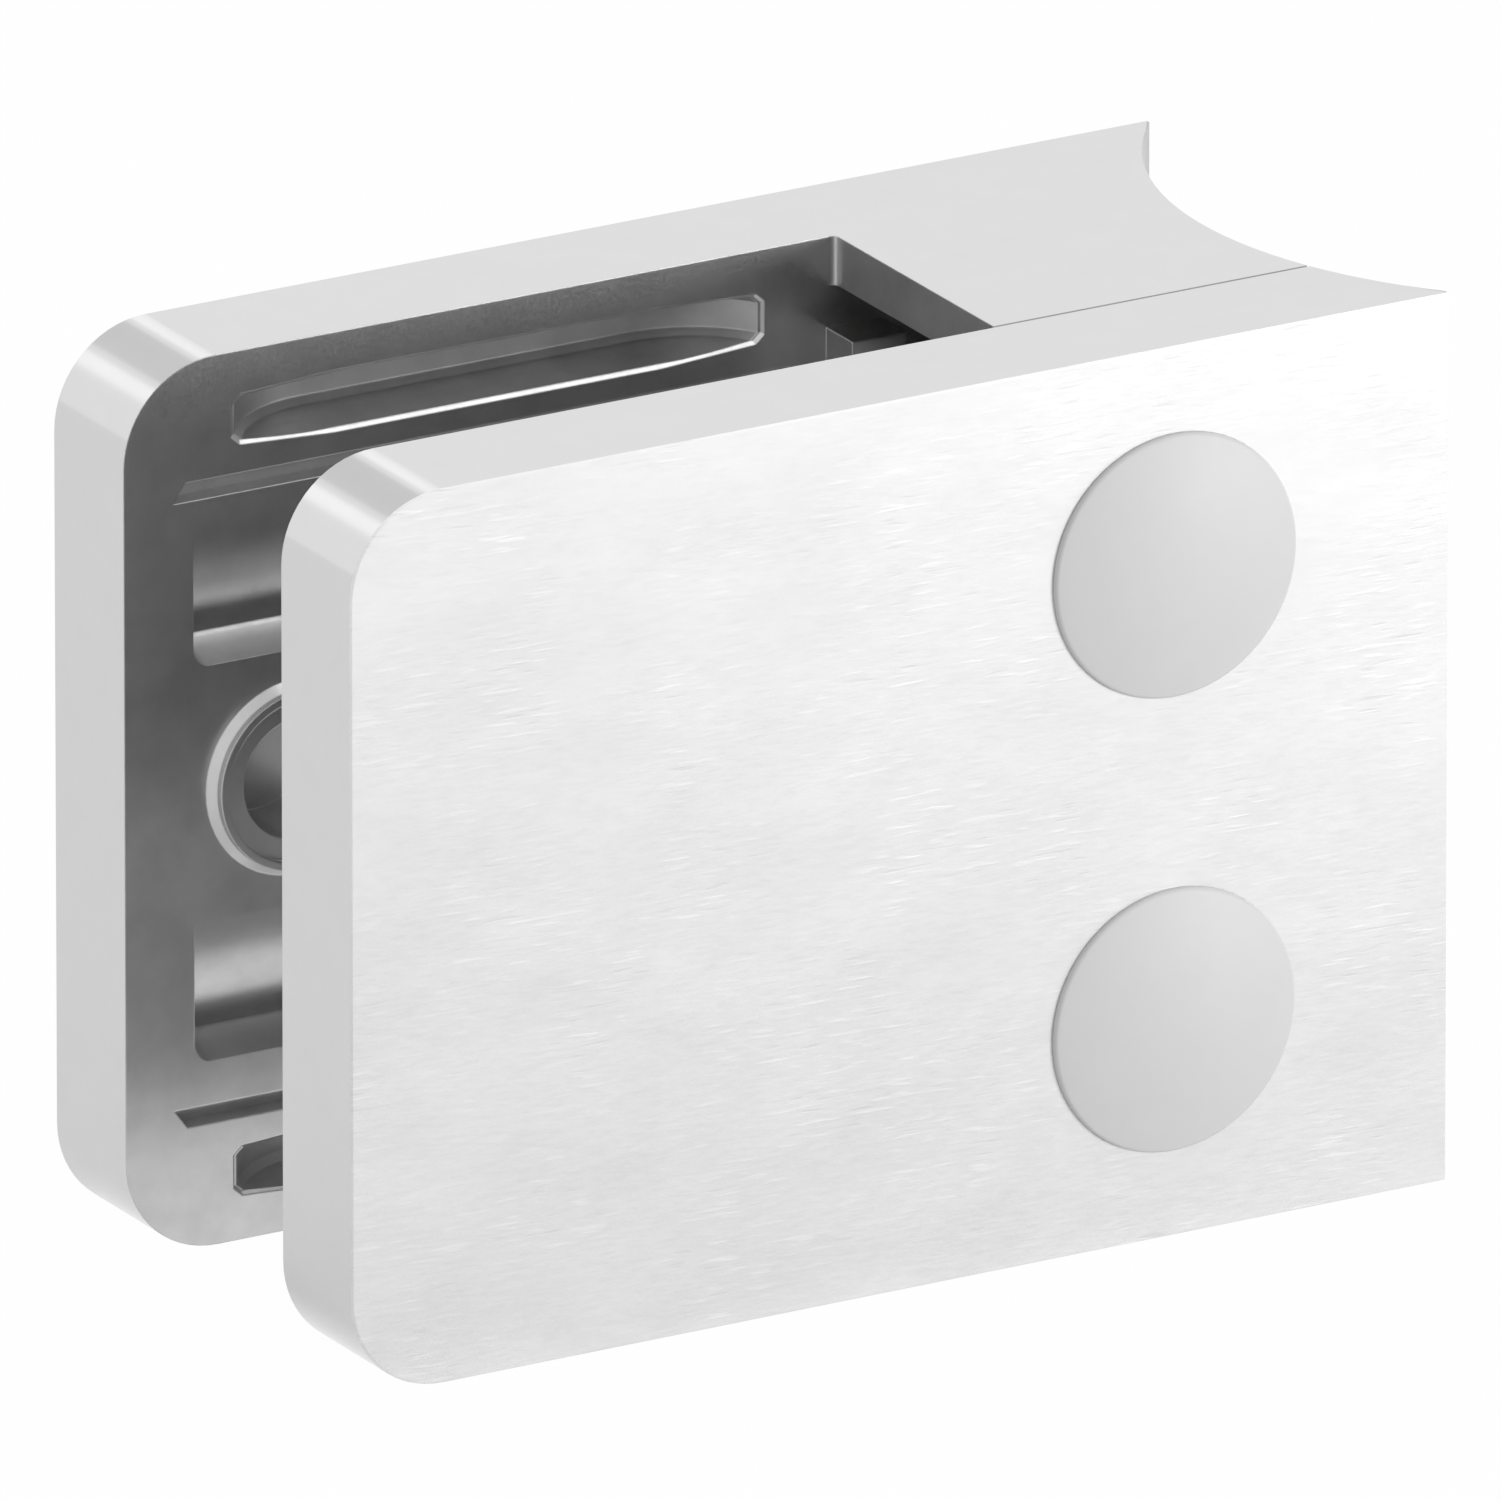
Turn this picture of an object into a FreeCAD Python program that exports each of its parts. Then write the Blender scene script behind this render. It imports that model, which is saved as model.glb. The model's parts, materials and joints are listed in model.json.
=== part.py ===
"""Glass panel clamp for a round post, in millimetres.

A cast body carries the rear jaw, a hollow web and a saddle for the post.
A loose front plate is pulled against the web by two low head screws, each
under a domed cap. The jaws face each other across the glass gap.

Frame: the origin is where the axis of the post screw meets the deepest line
of the saddle. +X points to the post, +Z up, and the front plate is at -Y.
"""

import FreeCAD, Part

import math
import os

import Sketcher

# Driving sizes: name, millimetres, what it measures
SIZES = [
    ("clamp_length", 60.1, "jaw tips to the horns of the saddle"),
    ("clamp_height", 45.0, "bottom face to top face"),
    ("glass_gap", 15.0, "between the two jaws"),
    ("rear_jaw_thick", 6.75, "rear jaw"),
    ("plate_thick", 6.75, "front plate"),
    ("throat_setback", 6.0, "face of the web to the plane of the cover screws"),
    ("tip_radius", 5.0, "round corners at the jaw tips"),
    ("edge_break", 0.1, "chamfer of the outer rims"),
    ("seam_break", 0.18, "chamfer of the front plate's inner rim, a notch at the seam"),
    ("post_radius", 21.2, "half the post's diameter of 42.4"),
    ("saddle_deep", 5.2, "horns to the deepest line of the saddle"),
    ("web_wall", 2.5, "top and bottom walls of the hollow web"),
    ("saddle_wall", 4.9, "metal behind the deepest line of the saddle"),
    ("throat_fillet", 0.4, "inner corner between rear jaw and web"),
    ("rib_thick", 2.5, "low rib on the rear jaw at the throat"),
    ("rib_proud", 0.5, "how far the rib stands into the throat"),
    ("rib_width", 3.0, "rib along the clamp's length"),
    ("rib_drop", 4.6, "top face down to the end of the rib"),
    ("post_hole_radius", 3.3, "clearance hole for the post screw"),
    ("screw_setback", 15.1, "horns to the plane of the cover screws"),
    ("screw_rim", 11.0, "top or bottom face to the nearer cover screw"),
    ("boss_radius", 5.5, "screw bosses inside the web"),
    ("thread_radius", 3.0, "outside of the M6 thread"),
    ("thread_clear", 0.05, "play between thread and tapped hole"),
    ("screw_length", 16.0, "under the head"),
    ("tap_spare", 1.5, "tapped hole beyond the screw's tip"),
    ("head_radius", 5.0, "low screw head"),
    ("head_high", 4.0, "low screw head"),
    ("head_chamfer", 0.4, "rim of the screw head"),
    ("thread_chamfer", 0.7, "tip of the thread"),
    ("hex_across", 4.0, "hexagon socket across flats"),
    ("hex_deep", 2.4, "hexagon socket"),
    ("shank_clear", 0.3, "play between screw and plate"),
    ("seat_thick", 1.85, "plate left under the screw head"),
    ("skirt_play", 0.5, "between the screw head and the cap's skirt"),
    ("cap_clear", 0.05, "play between cap and counterbore"),
    ("cap_proud", 0.25, "side of the cap above the plate"),
    ("cap_dome", 1.0, "crown of the cap above its side"),
    ("cap_skirt_wall", 1.1, "skirt that reaches round the screw head"),
    ("head_clear", 0.1, "play between cap and screw head"),
    ("slot_setback", 6.05, "jaw tips to the slots"),
    ("slot_margin", 4.05, "slots to the face of the web"),
    ("slot_rim", 2.1, "top or bottom face to the nearer slot"),
    ("slot_mouth", 2.8, "slot width inside its broken rim"),
    ("slot_break", 0.18, "chamfer round the mouth of the slots"),
    ("slot_floor", 2.2, "slot width at its floor"),
    ("slot_deep", 3.3, "slot into the jaw"),
    ("slot_cutter", 6.2, "radius of the round slot ends"),
    ("slot_corner", 0.35, "broken corners at the rim of the slot cutter"),
    ("groove_setback", 2.7, "jaw tips to the fine grooves"),
    ("groove_margin", 1.9, "fine grooves to the face of the web"),
    ("groove_rim", 6.2, "top or bottom face to the nearer groove"),
    ("groove_width", 0.95, "fine grooves"),
    ("groove_slant", 0.7, "slant of the fine grooves' ends"),
    ("groove_deep", 1.05, "fine groove into the jaw"),
    ("grip_rise", 0.45, "mid height to the middle of the pockets and of the pin seat"),
    ("pocket_setback", 3.8, "jaw tips to the wedge pockets"),
    ("pocket_margin", 3.6, "wedge pockets to the face of the web"),
    ("pocket_pitch", 20.0, "between the two wedge pockets"),
    ("pocket_width", 7.1, "wedge pocket at the jaw face"),
    ("pocket_deep", 2.0, "wedge pocket at its deepest line"),
    ("pocket_foot", 1.0, "lower edge of a pocket up to its deepest line"),
    ("pocket_corner", 0.9, "round lower corners of the pockets"),
    ("pin_setback", 9.4, "jaw tips to the safety pin"),
    ("pin_radius", 3.05, "hole for a safety pin of 6 mm"),
    ("pin_deep", 4.25, "hole into the jaw"),
    ("seat_radius", 4.15, "shallow seat round the hole"),
    ("seat_deep", 0.5, "shallow seat below its rim"),
    ("seat_rim", 0.4, "thickness of the raised rim round the seat"),
    ("seat_proud", 0.8, "raised rim above the jaw face"),
    ("seat_foot", 0.4, "sloped foot of the raised rim"),
]

OVERCUT = 1.0
TOUCH = 1e-4
BEVEL_ANGLE = 45
UPPER = 1
LOWER = -1
REAR = 1
FRONT = -1

# Places that follow from the sizes
HALF_GAP = "(sizes.glass_gap / 2)"
HALF_HEIGHT = "(sizes.clamp_height / 2)"
HORN_X = "sizes.saddle_deep"
TIP_X = f"({HORN_X} - sizes.clamp_length)"
SCREW_X = f"({HORN_X} - sizes.screw_setback)"
THROAT_X = f"({SCREW_X} - sizes.throat_setback)"
SLOT_START_X = f"({TIP_X} + sizes.slot_setback)"
SLOT_STOP_X = f"({THROAT_X} - sizes.slot_margin)"
PLATE_FACE_Y = f"(-{HALF_GAP} - sizes.plate_thick)"
SEAT_Y = f"(-{HALF_GAP} - sizes.seat_thick)"
SCREW_TIP_Y = f"({SEAT_Y} + sizes.screw_length)"
HEAD_TOP_Y = f"({SEAT_Y} - sizes.head_high)"
SKIRT_RADIUS = "(sizes.head_radius + sizes.skirt_play)"
CAP_RADIUS = f"({SKIRT_RADIUS} + sizes.cap_skirt_wall)"

doc = FreeCAD.newDocument("glass_clamp")
sheet = doc.addObject("Spreadsheet::Sheet", "sizes")


def fill_sheet():
    """Writes each size into its own cell, under its name."""
    for row, (name, number, meaning) in enumerate(SIZES, start=1):
        sheet.set(f"A{row}", meaning)
        sheet.set(f"B{row}", str(number))
        sheet.setAlias(f"B{row}", name)
    doc.recompute()


def value(expression):
    """Present value of an expression over the sheet."""
    result = doc.getObject("sizes").evalExpression(expression)
    return float(getattr(result, "Value", result))


def new_body(name):
    body = doc.addObject("PartDesign::Body", name)
    body.Label = name
    return body


def new_sketch(body, name, plane, offsets):
    """Sketch on an origin plane of the body, shifted along that plane's own axes."""
    sketch = body.newObject("Sketcher::SketchObject", name)
    for feature in body.Origin.OriginFeatures:
        if feature.Role == plane:
            sketch.AttachmentSupport = [(feature, "")]
    sketch.MapMode = "FlatFace"
    for axis, offset in offsets.items():
        sketch.setExpression(f"AttachmentOffset.Base.{axis}", offset)
    return sketch


def jaw_sketch(body, name, depth):
    """Sketch across the clamp's side, at a depth measured along +Y."""
    return new_sketch(body, name, "XZ_Plane", {"z": f"-({depth})"})


def bind(sketch, kind, place, expression, name):
    """One dimension of a sketch, bound to an expression over the sheet."""
    index = sketch.addConstraint(Sketcher.Constraint(kind, *place, value(expression)))
    sketch.renameConstraint(index, name)
    sketch.setExpression(f"Constraints.{name}", expression)


def draw_outline(sketch, corners):
    """Closed outline through corners (x, y).

    A third entry in a corner is the radius of an arc that replaces the
    straight side to the next corner and bulges to the right of its way.
    """
    points = [FreeCAD.Vector(value(corner[0]), value(corner[1]), 0) for corner in corners]
    sides = []
    for number, corner in enumerate(corners):
        start = points[number]
        end = points[(number + 1) % len(points)]
        if len(corner) == 2:
            side = sketch.addGeometry(Part.LineSegment(start, end))
        else:
            side = sketch.addGeometry(arc_between(start, end, value(corner[2])))
            bind(sketch, "Radius", (side,), corner[2], f"radius_{number}")
        sides.append(side)
    for number, corner in enumerate(corners):
        sketch.addConstraint(Sketcher.Constraint("Coincident", sides[number - 1], 2, sides[number], 1))
        bind(sketch, "DistanceX", (-1, 1, sides[number], 1), corner[0], f"across_{number}")
        bind(sketch, "DistanceY", (-1, 1, sides[number], 1), corner[1], f"along_{number}")


def arc_between(start, end, radius):
    """Arc that runs counterclockwise from start to end."""
    chord = end - start
    left = FreeCAD.Vector(-chord.y, chord.x, 0).normalize()
    centre = (start + end) / 2 + left * math.sqrt(radius ** 2 - (chord.Length / 2) ** 2)
    first = math.atan2(start.y - centre.y, start.x - centre.x)
    last = math.atan2(end.y - centre.y, end.x - centre.x)
    circle = Part.Circle(centre, FreeCAD.Vector(0, 0, 1), radius)
    return Part.ArcOfCircle(circle, first, last)


def draw_box(sketch, low_x, high_x, low_y, high_y):
    draw_outline(sketch, [(low_x, low_y), (high_x, low_y), (high_x, high_y), (low_x, high_y)])


def draw_circle(sketch, x, y, radius, name):
    centre = FreeCAD.Vector(value(x), value(y), 0)
    circle = sketch.addGeometry(Part.Circle(centre, FreeCAD.Vector(0, 0, 1), value(radius)))
    bind(sketch, "Radius", (circle,), radius, f"radius_{name}")
    bind(sketch, "DistanceX", (-1, 1, circle, 3), x, f"across_{name}")
    bind(sketch, "DistanceY", (-1, 1, circle, 3), y, f"along_{name}")


def extrude(body, kind, name, sketch, length, backwards=False):
    """Pad or Pocket of a sketch. A Pad follows the sketch's normal, a Pocket goes against it."""
    feature = body.newObject(f"PartDesign::{kind}", name)
    feature.Profile = sketch
    feature.Reversed = backwards
    feature.setExpression("Length", length)
    sketch.Visibility = False
    return feature


def spin(body, kind, name, sketch):
    """Revolution or Groove of a sketch, a full turn about the sketch's own vertical axis."""
    feature = body.newObject(f"PartDesign::{kind}", name)
    feature.Profile = sketch
    feature.ReferenceAxis = (sketch, ["V_Axis"])
    feature.Angle = 360
    sketch.Visibility = False
    return feature


def dress_edges(body, kind, name, amount, wanted):
    """Fillet or Chamfer on each edge of the body so far for which wanted(edge) holds."""
    doc.recompute()
    base = body.Tip
    edges = [f"Edge{index}" for index, edge in enumerate(base.Shape.Edges, start=1) if wanted(edge)]
    feature = body.newObject(f"PartDesign::{kind}", name)
    feature.Base = (base, edges)
    feature.setExpression("Radius" if kind == "Fillet" else "Size", amount)
    return feature


def near(first, second):
    return abs(first - second) < TOUCH


def spans(edge, axis):
    """Lowest and highest coordinate of an edge along one axis."""
    box = edge.BoundBox
    return getattr(box, f"{axis}Min"), getattr(box, f"{axis}Max")


def lies_at(edge, axis, place):
    low, high = spans(edge, axis)
    return near(low, place) and near(high, place)


def is_tip_corner(edge):
    """Edge across a jaw's thickness at one of its two tip corners."""
    low, high = spans(edge, "Z")
    return lies_at(edge, "X", value(TIP_X)) and near(low, high) and near(abs(low), value(HALF_HEIGHT))


def break_rim(body, name, amount, face_y):
    """Chamfer round a flat jaw face, apart from its upright edge at the horn."""
    dress_edges(body, "Chamfer", name, amount,
                lambda edge: lies_at(edge, "Y", value(face_y)) and not lies_at(edge, "X", value(HORN_X)))


def facing(face, corners):
    """Corners of an outline on the rear jaw, or in the opposite order for its mirror image."""
    if face == REAR:
        return corners
    places = [corner[:2] for corner in corners]
    arcs = [corner[2:] for corner in corners]
    return [places[number] + arcs[number - 1] for number in reversed(range(len(corners)))]


def cut_slot(body, name, face, side):
    """Long slot with leaning sides, a broken rim and ends as a disc cutter leaves them."""
    middle_z = f"{side} * ({HALF_HEIGHT} - sizes.slot_rim - sizes.slot_mouth / 2)"
    half_chord = "sqrt(2 * sizes.slot_cutter * sizes.slot_deep - sizes.slot_deep ^ 2)"
    start_x = f"({SLOT_START_X} + {half_chord})"
    stop_x = f"({SLOT_STOP_X} - {half_chord})"
    face_radius = "(sizes.slot_cutter - sizes.slot_deep)"
    cutter_y = f"{face} * ({HALF_GAP} - {face_radius})"
    half_profile = [
        (f"{face} * ({face_radius} - {OVERCUT})", "sizes.slot_mouth / 2"),
        (f"{face} * {face_radius}", "sizes.slot_mouth / 2"),
        (f"{face} * (sizes.slot_cutter - sizes.slot_corner)", "sizes.slot_floor / 2"),
        (f"{face} * sizes.slot_cutter", "(sizes.slot_floor / 2 - sizes.slot_corner)"),
    ]
    other_half = [(radius, f"-{half_width}") for radius, half_width in reversed(half_profile)]
    profile = half_profile + other_half
    for end, x in (("start", start_x), ("stop", stop_x)):
        sketch = new_sketch(body, f"{name}_{end}_outline", "YZ_Plane", {"x": cutter_y, "y": middle_z, "z": x})
        draw_outline(sketch, profile)
        spin(body, "Groove", f"{name}_{end}", sketch)
    sketch = new_sketch(body, f"{name}_outline", "YZ_Plane", {"x": cutter_y, "y": middle_z, "z": stop_x})
    draw_outline(sketch, profile)
    extrude(body, "Pocket", name, sketch, f"{stop_x} - {start_x}")
    half_length = f"({SLOT_STOP_X} - {SLOT_START_X}) / 2"
    corner_chord = f"sqrt((sizes.slot_cutter - sizes.slot_corner) ^ 2 - {face_radius} ^ 2)"
    break_slot_rim(body, f"{name}_rim", face, middle_z, [
        (f"({half_length} + sizes.slot_break)",
         "(sizes.slot_floor / 2 - sizes.slot_corner + sizes.slot_break / 2)"),
        (f"({half_length} - {half_chord} + {corner_chord} + sizes.slot_break / 2)",
         "(sizes.slot_floor / 2 + sizes.slot_break)"),
        (f"({half_length} - {half_chord})",
         "(sizes.slot_mouth / 2 + sizes.slot_break)"),
    ])


def break_slot_rim(body, name, face, middle_z, quarter):
    """Bevel all round a slot's mouth, from a quarter of its outer outline."""
    middle_x = f"({SLOT_START_X} + {SLOT_STOP_X}) / 2"
    corners = []
    for along, up in ((1, 1), (-1, 1), (-1, -1), (1, -1)):
        turn = quarter if along == up else quarter[::-1]
        corners += [(f"({middle_x} + {along} * {x})", f"({middle_z} + {up} * {z})") for x, z in turn]
    sketch = jaw_sketch(body, f"{name}_outline", f"{face} * {HALF_GAP}")
    draw_outline(sketch, corners)
    bevel = extrude(body, "Pocket", name, sketch, "sizes.slot_break", backwards=(face == FRONT))
    bevel.TaperAngle = -BEVEL_ANGLE


def cut_groove(body, name, face, side):
    """Fine straight groove whose ends slant towards mid height."""
    outer_z = f"{side} * ({HALF_HEIGHT} - sizes.groove_rim)"
    inner_z = f"{side} * ({HALF_HEIGHT} - sizes.groove_rim - sizes.groove_width)"
    start_x = f"({TIP_X} + sizes.groove_setback)"
    stop_x = f"({THROAT_X} - sizes.groove_margin)"
    sketch = jaw_sketch(body, f"{name}_outline", f"{face} * {HALF_GAP}")
    draw_outline(sketch, [
        (start_x, inner_z),
        (stop_x, inner_z),
        (f"{stop_x} - sizes.groove_slant", outer_z),
        (f"{start_x} + sizes.groove_slant", outer_z),
    ])
    extrude(body, "Pocket", name, sketch, "sizes.groove_deep", backwards=(face == FRONT))


def cut_wedge_pocket(body, name, face, side):
    """Pocket whose swelling slope sinks from the jaw face to a steep foot along its lower side."""
    middle_z = f"(sizes.grip_rise + {side} * sizes.pocket_pitch / 2)"
    low_z = f"({middle_z} - sizes.pocket_width / 2)"
    high_z = f"({middle_z} + sizes.pocket_width / 2)"
    deepest_z = f"({low_z} + sizes.pocket_foot)"
    slope_rise = "(sizes.pocket_width - sizes.pocket_foot)"
    slope_radius = f"(({slope_rise} ^ 2 + sizes.pocket_deep ^ 2) / (2 * sizes.pocket_deep))"
    face_y = f"{face} * {HALF_GAP}"
    clear_y = f"{face} * ({HALF_GAP} - {OVERCUT})"
    deepest_y = f"{face} * ({HALF_GAP} + sizes.pocket_deep)"
    start_x = f"({TIP_X} + sizes.pocket_setback)"
    stop_x = f"({THROAT_X} - sizes.pocket_margin)"
    sketch = new_sketch(body, f"{name}_outline", "YZ_Plane", {"z": stop_x})
    draw_outline(sketch, facing(face, [
        (clear_y, high_z),
        (face_y, high_z, slope_radius),
        (deepest_y, deepest_z),
        (face_y, low_z),
        (clear_y, low_z),
    ]))
    extrude(body, "Pocket", name, sketch, f"{stop_x} - {start_x}")
    foot = (value(low_z), value(deepest_z))
    ends = (value(start_x), value(stop_x))
    dress_edges(body, "Fillet", f"{name}_corners", "sizes.pocket_corner",
                lambda edge: is_foot_end(edge, foot, ends))


def is_foot_end(edge, foot, ends):
    """Edge between an end wall of a wedge pocket and its steep foot."""
    low, high = spans(edge, "Z")
    at_end = any(lies_at(edge, "X", end) for end in ends)
    return at_end and near(low, foot[0]) and near(high, foot[1])


def make_pin_seat(body, face):
    """Raised rim round a shallow seat, and the blind hole for the safety pin."""
    place = {"x": f"{TIP_X} + sizes.pin_setback", "z": "sizes.grip_rise"}
    rim_y = f"{face} * ({HALF_GAP} - sizes.seat_proud)"
    rim_radius = "(sizes.seat_radius + sizes.seat_rim)"
    foot_radius = f"({rim_radius} + sizes.seat_foot)"
    sketch = new_sketch(body, "pin_rim_profile", "XY_Plane", place)
    draw_outline(sketch, facing(face, [
        ("0", f"{face} * ({HALF_GAP} + {OVERCUT})"),
        (foot_radius, f"{face} * ({HALF_GAP} + {OVERCUT})"),
        (foot_radius, f"{face} * {HALF_GAP}"),
        (rim_radius, f"{face} * ({HALF_GAP} - sizes.seat_foot)"),
        (rim_radius, rim_y),
        ("0", rim_y),
    ]))
    spin(body, "Revolution", "pin_rim", sketch)

    seat_y = f"{face} * ({HALF_GAP} - sizes.seat_proud + sizes.seat_deep)"
    clear_y = f"{face} * ({HALF_GAP} - sizes.seat_proud - {OVERCUT})"
    floor_y = f"{face} * ({HALF_GAP} + sizes.pin_deep)"
    sketch = new_sketch(body, "pin_hole_profile", "XY_Plane", place)
    draw_outline(sketch, facing(face, [
        ("0", clear_y),
        ("sizes.seat_radius", clear_y),
        ("sizes.seat_radius", seat_y),
        ("sizes.pin_radius", seat_y),
        ("sizes.pin_radius", floor_y),
        ("0", floor_y),
    ]))
    spin(body, "Groove", "pin_hole", sketch)


def shape_grip(body, face):
    """Slots, grooves, wedge pockets and pin seat in the gripping face of one jaw."""
    for side, place in ((UPPER, "upper"), (LOWER, "lower")):
        cut_slot(body, f"{place}_slot", face, side)
        cut_groove(body, f"{place}_groove", face, side)
        cut_wedge_pocket(body, f"{place}_pocket", face, side)
    make_pin_seat(body, face)


def cut_saddle(body):
    """Round seat for the post, through the whole height."""
    sketch = new_sketch(body, "saddle_outline", "XY_Plane", {"z": f"{HALF_HEIGHT} + {OVERCUT}"})
    draw_circle(sketch, "sizes.post_radius", "0", "sizes.post_radius", "post")
    extrude(body, "Pocket", "saddle", sketch, f"2 * ({HALF_HEIGHT} + {OVERCUT})")


def screw_place(side):
    """Height of one of the two cover screws."""
    return f"{side} * ({HALF_HEIGHT} - sizes.screw_rim)"


def draw_screw_circles(sketch, radius):
    """A circle on each of the two cover screw axes."""
    draw_circle(sketch, SCREW_X, screw_place(UPPER), radius, "upper")
    draw_circle(sketch, SCREW_X, screw_place(LOWER), radius, "lower")


def make_rear_jaw_body():
    """Casting with rear jaw, hollow web, screw bosses and saddle wall."""
    body = new_body("rear_jaw_body")
    sketch = jaw_sketch(body, "jaw_outline", HALF_GAP)
    draw_box(sketch, TIP_X, HORN_X, f"-{HALF_HEIGHT}", HALF_HEIGHT)
    extrude(body, "Pad", "jaw", sketch, "sizes.rear_jaw_thick", backwards=True)
    dress_edges(body, "Fillet", "tip_corners", "sizes.tip_radius", is_tip_corner)
    break_rim(body, "outer_rim", "sizes.edge_break", f"{HALF_GAP} + sizes.rear_jaw_thick")

    sketch = jaw_sketch(body, "web_outline", f"-{HALF_GAP}")
    draw_box(sketch, THROAT_X, HORN_X, f"-{HALF_HEIGHT}", HALF_HEIGHT)
    extrude(body, "Pad", "web", sketch, "sizes.glass_gap", backwards=True)

    inner_height = f"({HALF_HEIGHT} - sizes.web_wall)"
    sketch = jaw_sketch(body, "hollow_outline", f"-{HALF_GAP}")
    draw_box(sketch, f"{THROAT_X} - {OVERCUT}", "-sizes.saddle_wall", f"-{inner_height}", inner_height)
    extrude(body, "Pocket", "hollow", sketch, "sizes.glass_gap")

    sketch = jaw_sketch(body, "boss_outline", f"-{HALF_GAP}")
    draw_screw_circles(sketch, "sizes.boss_radius")
    extrude(body, "Pad", "bosses", sketch, "sizes.glass_gap", backwards=True)

    rib_end = f"({HALF_HEIGHT} - sizes.rib_drop)"
    rib_x = f"({THROAT_X} - sizes.rib_proud)"
    sketch = jaw_sketch(body, "rib_outline", HALF_GAP)
    draw_box(sketch, rib_x, f"{rib_x} + sizes.rib_width", f"-{rib_end}", rib_end)
    extrude(body, "Pad", "rib", sketch, "sizes.rib_thick")

    cut_saddle(body)

    sketch = jaw_sketch(body, "tapped_outline", f"-{HALF_GAP}")
    draw_screw_circles(sketch, "sizes.thread_radius + sizes.thread_clear")
    extrude(body, "Pocket", "tapped_holes", sketch, f"{SCREW_TIP_Y} + sizes.tap_spare + {HALF_GAP}")

    sketch = new_sketch(body, "post_hole_outline", "YZ_Plane", {"z": f"{OVERCUT}"})
    draw_circle(sketch, "0", "0", "sizes.post_hole_radius", "post_hole")
    extrude(body, "Pocket", "post_hole", sketch, f"sizes.saddle_wall + 2 * {OVERCUT}")

    dress_edges(body, "Fillet", "throat_corner", "sizes.throat_fillet", is_throat_corner)
    shape_grip(body, REAR)
    return body


def is_throat_corner(edge):
    """Upright inner edges where the web's top and bottom walls meet the rear jaw."""
    low, high = spans(edge, "Z")
    outermost = near(max(abs(low), abs(high)), value(HALF_HEIGHT))
    return lies_at(edge, "X", value(THROAT_X)) and lies_at(edge, "Y", value(HALF_GAP)) and outermost


def make_front_plate():
    """Loose jaw plate with two counterbored screw holes."""
    body = new_body("front_plate")
    sketch = jaw_sketch(body, "plate_outline", f"-{HALF_GAP}")
    draw_box(sketch, TIP_X, HORN_X, f"-{HALF_HEIGHT}", HALF_HEIGHT)
    extrude(body, "Pad", "plate", sketch, "sizes.plate_thick")
    dress_edges(body, "Fillet", "tip_corners", "sizes.tip_radius", is_tip_corner)
    break_rim(body, "outer_rim", "sizes.edge_break", PLATE_FACE_Y)
    break_rim(body, "inner_rim", "sizes.seam_break", f"-{HALF_GAP}")
    cut_saddle(body)

    sketch = jaw_sketch(body, "counterbore_outline", PLATE_FACE_Y)
    draw_screw_circles(sketch, f"{CAP_RADIUS} + sizes.cap_clear")
    extrude(body, "Pocket", "counterbores", sketch, "sizes.plate_thick - sizes.seat_thick")

    sketch = jaw_sketch(body, "screw_hole_outline", SEAT_Y)
    draw_screw_circles(sketch, "sizes.thread_radius + sizes.shank_clear")
    extrude(body, "Pocket", "screw_holes", sketch, "sizes.seat_thick")

    shape_grip(body, FRONT)
    return body


def make_screw(name, side):
    """Low head socket screw that lies along +Y."""
    body = new_body(name)
    sketch = new_sketch(body, f"{name}_profile", "XY_Plane", {"x": SCREW_X, "z": screw_place(side)})
    draw_outline(sketch, [
        ("0", HEAD_TOP_Y),
        ("sizes.head_radius - sizes.head_chamfer", HEAD_TOP_Y),
        ("sizes.head_radius", f"{HEAD_TOP_Y} + sizes.head_chamfer"),
        ("sizes.head_radius", SEAT_Y),
        ("sizes.thread_radius", SEAT_Y),
        ("sizes.thread_radius", f"{SCREW_TIP_Y} - sizes.thread_chamfer"),
        ("sizes.thread_radius - sizes.thread_chamfer", SCREW_TIP_Y),
        ("0", SCREW_TIP_Y),
    ])
    spin(body, "Revolution", f"{name}_turned", sketch)
    sketch = jaw_sketch(body, f"{name}_socket_outline", HEAD_TOP_Y)
    corners = []
    for corner in range(6):
        angle = 60 * corner
        x = f"{SCREW_X} + sizes.hex_across / sqrt(3) * cos({angle} deg)"
        z = f"{screw_place(side)} + sizes.hex_across / sqrt(3) * sin({angle} deg)"
        corners.append((x, z))
    draw_outline(sketch, corners)
    extrude(body, "Pocket", f"{name}_socket", sketch, "sizes.hex_deep")
    return body


def make_cap(name, side):
    """Domed cup that closes a counterbore and reaches round the screw head."""
    body = new_body(name)
    inside_y = f"({HEAD_TOP_Y} - sizes.head_clear)"
    skirt_y = f"({SEAT_Y} - sizes.head_clear)"
    crown_radius = f"(({CAP_RADIUS} ^ 2 + sizes.cap_dome ^ 2) / (2 * sizes.cap_dome))"
    rim_y = f"({PLATE_FACE_Y} - sizes.cap_proud)"
    sketch = new_sketch(body, f"{name}_profile", "XY_Plane", {"x": SCREW_X, "z": screw_place(side)})
    draw_outline(sketch, [
        ("0", f"{rim_y} - sizes.cap_dome", crown_radius),
        (CAP_RADIUS, rim_y),
        (CAP_RADIUS, skirt_y),
        (SKIRT_RADIUS, skirt_y),
        (SKIRT_RADIUS, inside_y),
        ("0", inside_y),
    ])
    spin(body, "Revolution", f"{name}_turned", sketch)
    return body


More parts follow.
